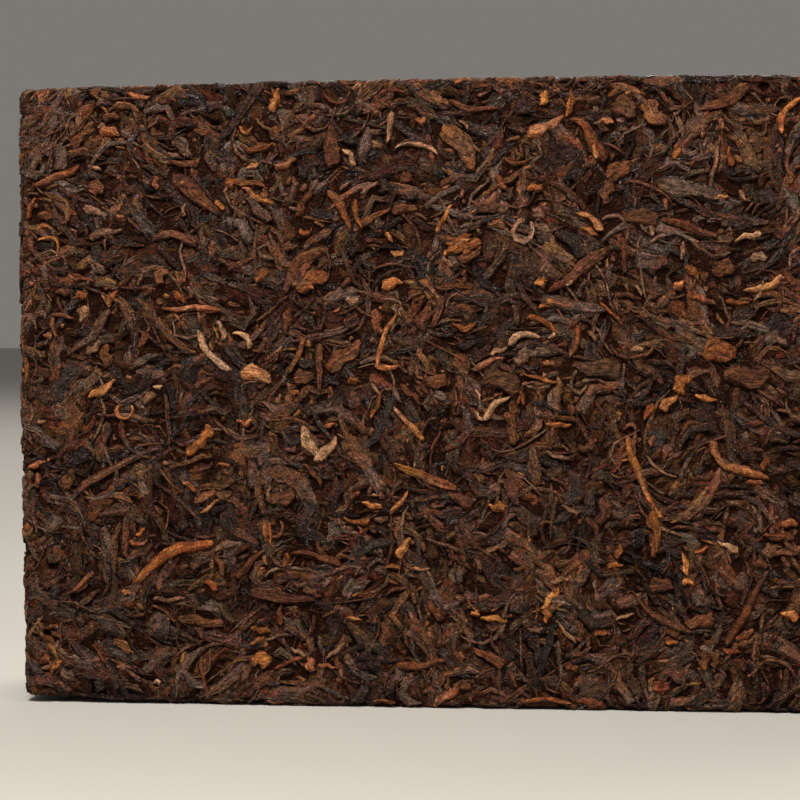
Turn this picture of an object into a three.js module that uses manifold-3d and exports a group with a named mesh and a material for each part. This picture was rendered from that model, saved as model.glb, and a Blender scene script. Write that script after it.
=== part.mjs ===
// A brick of ripened tea leaves, steamed and pressed hard in a mould, standing on a long narrow side.
//
// Millimetres. The origin is the middle of the flat foot that the brick stands on. +X runs along its
// length, +Y through its thickness to the back and +Z up.
//
// The brick is one piece: a packed core, and fused to it the larger leaves that show, which lie in the
// skin that the mould left and bend round the edges with it.

import * as THREE from "three";
import { mergeVertices } from "three/addons/utils/BufferGeometryUtils.js";
import Module from "manifold-3d";

const wasm = await Module();
wasm.setup();

// ---- The brick ----
const LENGTH = 140;
const THICKNESS = 25;
const HEIGHT = 90;
const EDGE_RADIUS = 1.8; // the rounding that the mould leaves on every edge
const LONG_SIDE_BOW = 0.8; // how far a long side's middle springs back beyond its ends
const SHORT_SIDE_BOW = 0.3;
const FOOT_SHARE = 0.45; // share of the lower side that stays flat for the brick to stand on

// ---- The core ----
const SKIN_DEPTH = 0.5; // the leaves that show stand this far out of the packed core
const CORE_CELL = 12; // size of the core's facets
const CORE_RELIEF = 0.2; // unevenness of the core, each way

// ---- The leaves ----
const LEAVES = 290;
const LONGEST_LEAF = 19;
const SHORTEST_LEAF = 9;
const WIDEST_LEAF = 3.2;
const NARROWEST_LEAF = 1.9;
const LEAF_ROOT = 0.55; // how deep a leaf's edges sink into the core
const LEAF_SUNK = 0.2; // the most that a leaf's back lies below the mould's wall
const STATIONS = [-0.55, 0.55]; // sections along a leaf between its two tips, as shares of half its length
const SHOULDER = 0.5; // width of a leaf's pressed back, as a share of the leaf's own width
const TAPER = 0.8; // how fast a leaf narrows from its middle towards its tips
const MOST_BEND = 1.1; // radians that a leaf turns through from tip to tip
const LENGTH_SPREAD = [0.85, 1.1]; // a leaf's own draw on the length and width of its place in the order
const WIDTH_SPREAD = [0.8, 1.15];
const EVEN_STEP = { a: 0.7548776662, b: 0.569840291 }; // steps that spread points evenly over a rectangle
const SEED = 20240611;

const half = { length: LENGTH / 2, thickness: THICKNESS / 2, height: HEIGHT / 2 };
const centre = new THREE.Vector3(0, 0, half.height);

// A small seeded generator, so that the brick is the same each time it is made.
function seeded(seed) {
  const multiplier = 1664525;
  const increment = 1013904223;
  let state = seed >>> 0;
  return () => {
    state = (Math.imul(state, multiplier) + increment) >>> 0;
    return state / 2 ** 32;
  };
}
const random = seeded(SEED);
const between = (low, high) => low + (high - low) * random();

// The six sides. along x across = out, and the half sizes are those of the whole brick.
const axis = {
  x: new THREE.Vector3(1, 0, 0),
  y: new THREE.Vector3(0, 1, 0),
  z: new THREE.Vector3(0, 0, 1),
};
const side = (along, across, out, a, b, c) => ({
  along,
  across,
  out,
  halfAlong: a,
  halfAcross: b,
  halfOut: c,
});
const SIDES = [
  side(axis.x, axis.z, axis.y.clone().negate(), half.length, half.height, half.thickness),
  side(axis.x.clone().negate(), axis.z, axis.y, half.length, half.height, half.thickness),
  side(axis.x, axis.y, axis.z, half.length, half.thickness, half.height),
  side(axis.x, axis.y.clone().negate(), axis.z.clone().negate(), half.length, half.thickness, half.height),
  side(axis.y, axis.z, axis.x, half.thickness, half.height, half.length),
  side(axis.y.clone().negate(), axis.z, axis.x.clone().negate(), half.thickness, half.height, half.length),
];
const LOWER_SIDE = SIDES[3];

// Carries a distance measured along the skin round a rounded edge: where it comes to along the side, how
// far it has dropped behind the side's plane, and how far the skin leans there.
function roundEdge(distance, halfSize) {
  const flat = halfSize - EDGE_RADIUS;
  const over = Math.abs(distance) - flat;
  if (over <= 0) return { at: distance, drop: 0, lean: 0 };
  const way = Math.sign(distance);
  const angle = Math.min(over / EDGE_RADIUS, Math.PI / 2);
  const beyond = Math.max(0, over - (EDGE_RADIUS * Math.PI) / 2);
  return {
    at: way * (flat + EDGE_RADIUS * Math.sin(angle)),
    drop: EDGE_RADIUS * (1 - Math.cos(angle)) + beyond,
    lean: way * angle,
  };
}

// The point at (a, b) on a side's skin, raised out of it by `raised`.
function onSkin(place, a, b, raised) {
  const onA = roundEdge(a, place.halfAlong);
  const onB = roundEdge(b, place.halfAcross);
  const normal = place.out
    .clone()
    .multiplyScalar(Math.cos(onA.lean) * Math.cos(onB.lean))
    .addScaledVector(place.along, Math.sin(onA.lean))
    .addScaledVector(place.across, Math.sin(onB.lean))
    .normalize();
  return centre
    .clone()
    .addScaledVector(place.along, onA.at)
    .addScaledVector(place.across, onB.at)
    .addScaledVector(place.out, place.halfOut - onA.drop - onB.drop)
    .addScaledVector(normal, raised);
}

// The spring-back of the pressed brick: long and short sides bow out in the middle, so their ends are drawn
// in by the square of the way along. The lower side stays flat over the foot.
function bowed(point) {
  const u = point.x / half.length;
  const v = (point.z - half.height) / half.height;
  const flat = v < 0 ? FOOT_SHARE : 0;
  const alongSide = Math.max(0, (Math.abs(u) - flat) / (1 - flat)) ** 2;
  point.z -= LONG_SIDE_BOW * v * alongSide;
  point.x -= SHORT_SIDE_BOW * u * v * v;
  return point;
}

function toSolid(geometry) {
  geometry.deleteAttribute("normal");
  geometry.deleteAttribute("uv");
  const merged = mergeVertices(geometry, 1e-4);
  return new wasm.Manifold(
    new wasm.Mesh({
      numProp: 3,
      vertProperties: merged.attributes.position.array,
      triVerts: new Uint32Array(merged.index.array),
    }),
  );
}

function toGeometry(solid) {
  const { vertProperties, triVerts, numProp } = solid.getMesh();
  const interleaved = new THREE.InterleavedBuffer(vertProperties, numProp);
  const geometry = new THREE.BufferGeometry();
  geometry.setAttribute("position", new THREE.InterleavedBufferAttribute(interleaved, 3, 0));
  geometry.setIndex(new THREE.BufferAttribute(triVerts, 1));
  const faceted = geometry.toNonIndexed();
  faceted.computeVertexNormals();
  return faceted;
}

// The packed core: a box whose outermost cells are as narrow as the edge's rounding, so that its border
// vertices can be drawn in onto the arc, and whose other vertices are uneven.
function makeCore() {
  const inset = { x: half.length - SKIN_DEPTH, y: half.thickness - SKIN_DEPTH, z: half.height - SKIN_DEPTH };
  const cells = {};
  for (const key of ["x", "y", "z"]) cells[key] = Math.round((2 * inset[key]) / CORE_CELL) + 2;
  const box = new THREE.BoxGeometry(2 * inset.x, 2 * inset.y, 2 * inset.z, cells.x, cells.y, cells.z);
  box.deleteAttribute("normal");
  box.deleteAttribute("uv");
  const core = mergeVertices(box, 1e-4);
  const position = core.attributes.position;
  const point = new THREE.Vector3();

  // Moves an even grid line to its place: the first and last cells are EDGE_RADIUS wide.
  const gridLine = (value, key) => {
    const line = Math.round((value / inset[key] + 1) * 0.5 * cells[key]);
    if (line === 0 || line === cells[key]) return value;
    const inner = inset[key] - EDGE_RADIUS;
    return -inner + ((line - 1) * 2 * inner) / (cells[key] - 2);
  };

  for (let i = 0; i < position.count; i += 1) {
    point.fromBufferAttribute(position, i);
    for (const key of ["x", "y", "z"]) point[key] = gridLine(point[key], key);
    const inner = point.clone();
    for (const key of ["x", "y", "z"]) {
      const limit = inset[key] - EDGE_RADIUS;
      inner[key] = THREE.MathUtils.clamp(point[key], -limit, limit);
    }
    const outward = point.clone().sub(inner).normalize();
    const onFoot = outward.z < -0.99 && Math.abs(point.x) < FOOT_SHARE * half.length;
    const relief = onFoot ? SKIN_DEPTH : between(-CORE_RELIEF, CORE_RELIEF);
    point.copy(inner).addScaledVector(outward, EDGE_RADIUS + relief).add(centre);
    bowed(point);
    position.setXYZ(i, point.x, point.y, point.z);
  }
  return toSolid(core);
}

// One pressed leaf: a low ridge with a flat back, lofted along an arc in the skin from tip to tip.
function makeLeaf(place, leaf) {
  const corners = [];
  const section = (along, halfWidth) => {
    const turned = leaf.turn + 0.5 * leaf.bend * along;
    const reach = 0.5 * leaf.length * along;
    const a = leaf.a + reach * Math.cos(turned);
    const b = leaf.b + reach * Math.sin(turned);
    const heading = leaf.turn + leaf.bend * along;
    const at = (offset, raised) => {
      const point = onSkin(place, a - offset * Math.sin(heading), b + offset * Math.cos(heading), raised);
      corners.push(...bowed(point));
    };
    if (halfWidth === 0) {
      at(0, -SKIN_DEPTH - LEAF_ROOT);
      return;
    }
    at(-halfWidth, -SKIN_DEPTH - LEAF_ROOT);
    at(halfWidth, -SKIN_DEPTH - LEAF_ROOT);
    at(SHOULDER * halfWidth, -leaf.sunk);
    at(-SHOULDER * halfWidth, -leaf.sunk - leaf.slope);
  };
  section(-1, 0);
  for (const along of STATIONS) section(along, 0.5 * leaf.width * Math.sqrt(1 - TAPER * along * along));
  section(1, 0);

  const faces = [];
  const ring = (station) => 1 + 4 * station;
  const lastTip = ring(STATIONS.length);
  for (let side = 0; side < 4; side += 1) {
    const next = (side + 1) % 4;
    faces.push(0, ring(0) + next, ring(0) + side);
    for (let station = 0; station + 1 < STATIONS.length; station += 1) {
      const here = ring(station);
      const ahead = ring(station + 1);
      faces.push(here + side, ahead + next, ahead + side);
      faces.push(here + side, here + next, ahead + next);
    }
    const last = ring(STATIONS.length - 1);
    faces.push(lastTip, last + side, last + next);
  }
  const geometry = new THREE.BufferGeometry();
  geometry.setAttribute("position", new THREE.Float32BufferAttribute(corners, 3));
  geometry.setIndex(faces);
  return toSolid(geometry);
}

// Spreads one side's leaves evenly over it, the largest first, each turned at random.
function makeLeaves(place, count) {
  const leaves = [];
  for (let i = 0; i < count; i += 1) {
    const share = i / count;
    const spread = (step) => 2 * ((0.5 + step * (i + 1)) % 1) - 1;
    const leaf = {
      a: spread(EVEN_STEP.a) * (place.halfAlong - EDGE_RADIUS),
      b: spread(EVEN_STEP.b) * (place.halfAcross - EDGE_RADIUS),
      turn: between(0, Math.PI),
      bend: between(-MOST_BEND, MOST_BEND),
      length: THREE.MathUtils.lerp(LONGEST_LEAF, SHORTEST_LEAF, share) * between(...LENGTH_SPREAD),
      width: THREE.MathUtils.lerp(WIDEST_LEAF, NARROWEST_LEAF, share) * between(...WIDTH_SPREAD),
      sunk: between(0, LEAF_SUNK),
      slope: between(0, LEAF_SUNK),
    };
    const onFoot = place === LOWER_SIDE && Math.abs(leaf.a) < FOOT_SHARE * half.length + 0.5 * leaf.length;
    if (!onFoot) leaves.push(makeLeaf(place, leaf));
  }
  return leaves;
}

function makeBrick() {
  const areas = SIDES.map((place) => place.halfAlong * place.halfAcross);
  const whole = areas.reduce((sum, area) => sum + area, 0);
  const leaves = SIDES.flatMap((place, i) => makeLeaves(place, Math.round((LEAVES * areas[i]) / whole)));
  const bodies = wasm.Manifold.union([makeCore(), ...leaves]).decompose();
  // A hollow that crossing leaves seal is a body of negative volume: keeping the largest body alone fills it.
  return bodies.reduce((largest, body) => (body.volume() > largest.volume() ? body : largest));
}

const leafBrown = new THREE.MeshStandardMaterial({ color: 0x3b2a21, roughness: 0.78, metalness: 0 });

const brick = new THREE.Mesh(toGeometry(makeBrick()), leafBrown);
brick.name = "tea_brick";

const part = new THREE.Group();
part.add(brick);

export default part;
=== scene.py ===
"""A brick of ripened pu erh tea, pressed hard from whole leaf and standing on a long narrow side.

Sizes are in millimetres and become metres as they go into the meshes.
"""

import math

import bpy
import numpy as np
from mathutils import Matrix, Vector


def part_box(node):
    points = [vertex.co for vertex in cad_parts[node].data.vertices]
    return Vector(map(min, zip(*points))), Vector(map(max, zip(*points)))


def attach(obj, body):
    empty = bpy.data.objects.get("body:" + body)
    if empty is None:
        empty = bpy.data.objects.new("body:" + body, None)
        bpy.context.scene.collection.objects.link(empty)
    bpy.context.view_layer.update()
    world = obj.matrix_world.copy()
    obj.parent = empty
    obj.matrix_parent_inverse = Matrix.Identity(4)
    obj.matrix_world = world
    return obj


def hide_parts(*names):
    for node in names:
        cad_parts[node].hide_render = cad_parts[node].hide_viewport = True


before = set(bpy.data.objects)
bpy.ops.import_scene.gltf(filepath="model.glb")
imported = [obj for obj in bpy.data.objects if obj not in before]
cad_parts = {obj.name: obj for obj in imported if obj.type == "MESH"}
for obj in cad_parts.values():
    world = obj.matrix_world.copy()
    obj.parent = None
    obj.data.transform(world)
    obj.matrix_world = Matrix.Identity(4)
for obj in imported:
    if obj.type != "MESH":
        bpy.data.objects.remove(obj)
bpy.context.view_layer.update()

# ---- The view ----
# A nearly level look at the brick's front through a long lens, from a little above its middle and turned a
# few degrees towards its left end, so that its right end runs out of the picture.

MM = 0.001
PICTURE = 800  # the picture's width and height in pixels
LENS = 90
SENSOR = 36
VIEW_FROM = (12.2, -295.2, 56.5)
TURNED_LEFT = math.radians(5.37)
TIPPED_DOWN = math.radians(2.48)
ROLLED = math.radians(-0.18)

camera = bpy.data.objects.new("camera", bpy.data.cameras.new("camera"))
camera.data.lens = LENS
camera.data.sensor_width = SENSOR
camera.data.clip_start = 0.01
camera.data.clip_end = 100
turned = Matrix.Rotation(TURNED_LEFT, 4, "Z") @ Matrix.Rotation(math.pi / 2 - TIPPED_DOWN, 4, "X")
camera.matrix_world = Matrix.Translation(Vector(VIEW_FROM) * MM) @ turned @ Matrix.Rotation(ROLLED, 4, "Z")
bpy.context.scene.collection.objects.link(camera)
bpy.context.scene.camera = camera


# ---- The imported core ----
# The inside of the brick: leaf steamed soft and pressed so hard that it holds together as one dark mass. It
# shows only at the bottom of the gaps between the leaves of the skin.

EDGE_RADIUS = 1.2  # the rounding that the mould leaves on every edge
LONG_SIDE_BOW = 0.8  # how far a long side's middle springs back beyond its ends
SHORT_SIDE_BOW = 0.3
FOOT_SHARE = 0.45  # share of the lower side that stays flat for the brick to stand on
WALL_GAP = 0.02  # everything keeps this far inside the mould's wall
CORE_DEPTH = 0.8  # how far the core lies below the skin's surface
CORE_CELL = 1.5
CORE_LUMP = 2.0
CORE_RELIEF = 0.15
EDGE_ANGLES = (15, 30, 45)  # degrees round an edge at which the core has points
CORE_MOTTLE = 900  # patches of the core's mottling to the metre
CORE_BUMP = 1.5
# The core's colour in its creases, where its darkness is painted shade, and on its ridges.
CORE_DARK = (0.008, 0.0025, 0.001, 1)
CORE_BROWN = (0.045, 0.014, 0.006, 1)

low, high = (np.array(corner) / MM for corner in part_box("tea_brick"))
HALF = (high - low) / 2 - WALL_GAP
CENTRE = (high + low) / 2
X, Y, Z = np.eye(3)
# Each side's directions along, across and out.
SIDES = np.array([(X, Z, -Y), (-X, Z, Y), (X, Y, Z), (X, -Y, -Z), (Y, Z, X), (-Y, Z, -X)])
SIDE_HALVES = np.abs(SIDES) @ HALF


def ripple(points, size, seed):
    """Smooth unevenness about `size` across, of variance one: a sum of sine waves that run in random
    directions, each with a random phase."""
    waves = 28
    draw = np.random.default_rng(seed)
    runs = draw.normal(0, math.pi / size, (points.shape[-1], waves))
    phases = draw.uniform(0, 2 * math.pi, waves)
    return np.sin(points @ runs + phases).sum(axis=-1) * math.sqrt(2 / waves)


def bowed(points):
    """The spring-back of the pressed brick: its sides bow out in the middle, so their ends are drawn in by
    the square of the way along. The lower side stays flat over the foot."""
    u = points[..., 0] / HALF[0]
    v = (points[..., 2] - CENTRE[2]) / HALF[2]
    flat = np.where(v < 0, FOOT_SHARE, 0)
    share = np.clip((np.abs(u) - flat) / (1 - flat), 0, None) ** 2
    moved = points.copy()
    moved[..., 2] -= LONG_SIDE_BOW * v * share
    moved[..., 0] -= SHORT_SIDE_BOW * u * v * v
    return moved


def as_piece(name, points, corners, counts, finish):
    """An object from its points, the points at the corners of its faces one face after another, and how
    many corners each face has."""
    mesh = bpy.data.meshes.new(name)
    mesh.vertices.add(len(points))
    mesh.vertices.foreach_set("co", (points * MM).astype(np.float32).ravel())
    mesh.loops.add(len(corners))
    mesh.loops.foreach_set("vertex_index", corners.astype(np.int32))
    mesh.polygons.add(len(counts))
    mesh.polygons.foreach_set("loop_start", (np.cumsum(counts) - counts).astype(np.int32))
    mesh.update(calc_edges=True)
    mesh.shade_smooth()
    mesh.materials.append(finish)
    piece = bpy.data.objects.new(name, mesh)
    bpy.context.scene.collection.objects.link(piece)
    return piece


def core_points_and_faces():
    """A box whose six sides are grids. A point within the edge's rounding is drawn in to its radius from the
    nearest point of the inner box, and lumps then move every point in or out along that radius. Points that
    sides share are merged."""
    inner = HALF - CORE_DEPTH - EDGE_RADIUS
    edge_lines = EDGE_RADIUS * np.tan(np.radians(EDGE_ANGLES))
    points = []
    faces = []
    made = 0
    for along, across, out in SIDES:
        lines = []
        for way in (along, across):
            reach = np.abs(way) @ inner
            flat = np.linspace(-reach, reach, round(2 * reach / CORE_CELL) + 1)
            lines.append(np.concatenate([-reach - edge_lines[::-1], flat, reach + edge_lines]))
        a, b = np.meshgrid(*lines, indexing="ij")
        level = np.abs(out) @ inner + EDGE_RADIUS
        points.append((a[..., None] * along + b[..., None] * across + level * out).reshape(-1, 3))
        index = made + np.arange(a.size).reshape(a.shape)
        around = [index[:-1, :-1], index[1:, :-1], index[1:, 1:], index[:-1, 1:]]
        faces.append(np.stack(around, -1).reshape(-1, 4))
        made += a.size
    points = np.concatenate(points)
    nearest = np.clip(points, -inner, inner)
    radius = points - nearest
    radius /= np.linalg.norm(radius, axis=1, keepdims=True)
    lumps = CORE_RELIEF * ripple(points, CORE_LUMP, seed=1)
    points = CENTRE + nearest + radius * (EDGE_RADIUS + lumps[:, None])
    _, first, merged = np.unique(points.round(4), axis=0, return_index=True, return_inverse=True)
    return bowed(points[first]), merged.reshape(-1)[np.concatenate(faces)]


def packed_leaf():
    """Nearly black, mottled with brown: noise on the object's own coordinates, folded about its middle into
    ridges and creases, which are also a bump. The near black of the creases is painted shade."""
    finish = bpy.data.materials.new("packed_leaf")
    finish.use_nodes = True
    nodes, links = finish.node_tree.nodes, finish.node_tree.links
    shader = nodes["Principled BSDF"]
    shader.inputs["Roughness"].default_value = 0.7
    shader.inputs["Specular IOR Level"].default_value = 0.05
    place = nodes.new("ShaderNodeTexCoord")
    mottle = nodes.new("ShaderNodeTexNoise")
    mottle.inputs["Scale"].default_value = CORE_MOTTLE
    mottle.inputs["Detail"].default_value = 3
    mottle.inputs["Distortion"].default_value = 1.5
    shifted = nodes.new("ShaderNodeMath")
    shifted.operation = "SUBTRACT"
    shifted.inputs[1].default_value = 0.5
    folded = nodes.new("ShaderNodeMath")
    folded.operation = "ABSOLUTE"
    colour = nodes.new("ShaderNodeValToRGB")
    colour.color_ramp.elements[0].position = 0.02
    colour.color_ramp.elements[0].color = CORE_DARK
    colour.color_ramp.elements[1].position = 0.2
    colour.color_ramp.elements[1].color = CORE_BROWN
    bump = nodes.new("ShaderNodeBump")
    bump.inputs["Distance"].default_value = CORE_BUMP * MM
    links.new(place.outputs["Object"], mottle.inputs["Vector"])
    links.new(mottle.outputs["Fac"], shifted.inputs[0])
    links.new(shifted.outputs[0], folded.inputs[0])
    links.new(folded.outputs[0], colour.inputs["Fac"])
    links.new(colour.outputs["Color"], shader.inputs["Base Color"])
    links.new(folded.outputs[0], bump.inputs["Height"])
    links.new(bump.outputs["Normal"], shader.inputs["Normal"])
    return finish


points, faces = core_points_and_faces()
core = as_piece("packed_core", points, faces.ravel(), np.full(len(faces), 4), packed_leaf())
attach(core, "root")
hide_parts("tea_brick")


# ---- The golden buds ----
# Buds and young stems, which stay orange to golden when the leaf round them turns dark. Like every leaf of
# the brick they were rolled, fermented, steamed soft and pressed flat against the mould.

# A leaf's shape.
LAST_STATION = math.radians(89.91)  # the stations are the sines of evenly spaced angles up to this
FOLD_SHARPNESS = 5  # how sharply a leaf doubles back
EDGE_DROP = 2.4  # how square a leaf's pressed section is: 2 is an ellipse, more is flatter on top
KEEL = 1.7  # depth of a leaf's hidden underside, as a share of its thickness
FOLDS = (5, 11)  # radians from a leaf's middle to its edge, of the sine that folds it
EVEN_FOLDS = 0.75  # shares of that sine and of each column's own unevenness
UNEVEN_FOLDS = 0.65
RISE = 0.1  # how far a leaf rises and falls on its way
TORN = 1.4  # how far a leaf's ends are torn back, as a share of its width and its raggedness
TORN_RANGE = (-1, 0.3)  # from torn back to sticking out
THIN_TIP = 0.3  # thickness at the very tip, as a share of the middle's
EDGE_FOLDS = 0.2  # where the folds have died away to less than this, the finish sees a leaf's edge
EDGE_PAINTED_SHADE = -1.2  # and gives it painted shade, as dark as on this deep a fold
OWN_GRAIN = 7.31  # sets each leaf's grain apart from the next one's
CELL_MARGIN = 0.06  # bare edge of a leaf's cell in the flat map, as a share of the cell
SQUEEZE = 0.14  # depth below the mould's wall over which a leaf is squeezed flat

# Pitches, in radians from a leaf's middle to its tip, of the sines that vary its folds and rise, fray its
# outline and make it weave from side to side.
FOLD_PITCH = (1.5, 6)
OUTLINE_PITCH = (2, 9)
WEAVE_PITCH = (3, 7)

# How the leaves lie.
EVEN_STEP = np.array([0.7548776662, 0.5698402910])  # steps that spread points evenly over a rectangle
SWIRLS_AT = 40  # distance from the brick's middle at which each side's swirls and patches are drawn
SWIRL = 17  # size of the swirls in which neighbouring leaves lie alike
SWIRL_TURN = 1.1  # radians that a swirl turns its leaves by
STRAY = 0.45  # radians by which a leaf strays from its neighbours
MOST_BEND = 3  # radians
PATCH = 9  # size of the patches of darker and lighter leaves
PATCH_TONE = 0.27
LAID_BY_HAND = 41  # the front's striking leaves are laid one by one up to here, and strewn beyond
LAID_CALM = 0.4  # share of the ranges' wave, dive and sink that a laid leaf has
LAID_RAGGED = 0.8
LAID_DEPTH = 0.1
MAKES_ROOM = 0.45  # how far a leaf is pressed in where a laid leaf lies on it
ROOM_EDGE = 0.7  # over what distance beside the laid leaf it comes back out
ROOM_SHARE = 0.3  # share of that depth which it still has right at the laid leaf's edge

# A range is its ends and the power of the random draw: over 1, most are near the first end. `ragged` is the
# unevenness of the outline as a share of the half width.
GOLDEN_BUD = {
    "length": (3.5, 10, 1),
    "width": (0.8, 1.8, 1),
    "thickness": (0.4, 0.7, 1),
    "depth": (0, 0.3, 1),
    "bend": (-2, 2, 1),
    "wave": (-0.8, 0.8, 1),
    "fold": (-1.2, 1.2, 1),
    "dive": (-0.2, 0.2, 1),
    "sink": (0, 0.2, 1),
    "roll": (-0.25, 0.25, 1),
    "twist": (-5, 5, 1),
    "wrinkle": (0.05, 0.12, 1),
    "blunt": (1.4, 4, 1),
    "taper": (-0.6, 0.6, 1),
    "ragged": (0.2, 0.35, 1),
}

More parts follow.
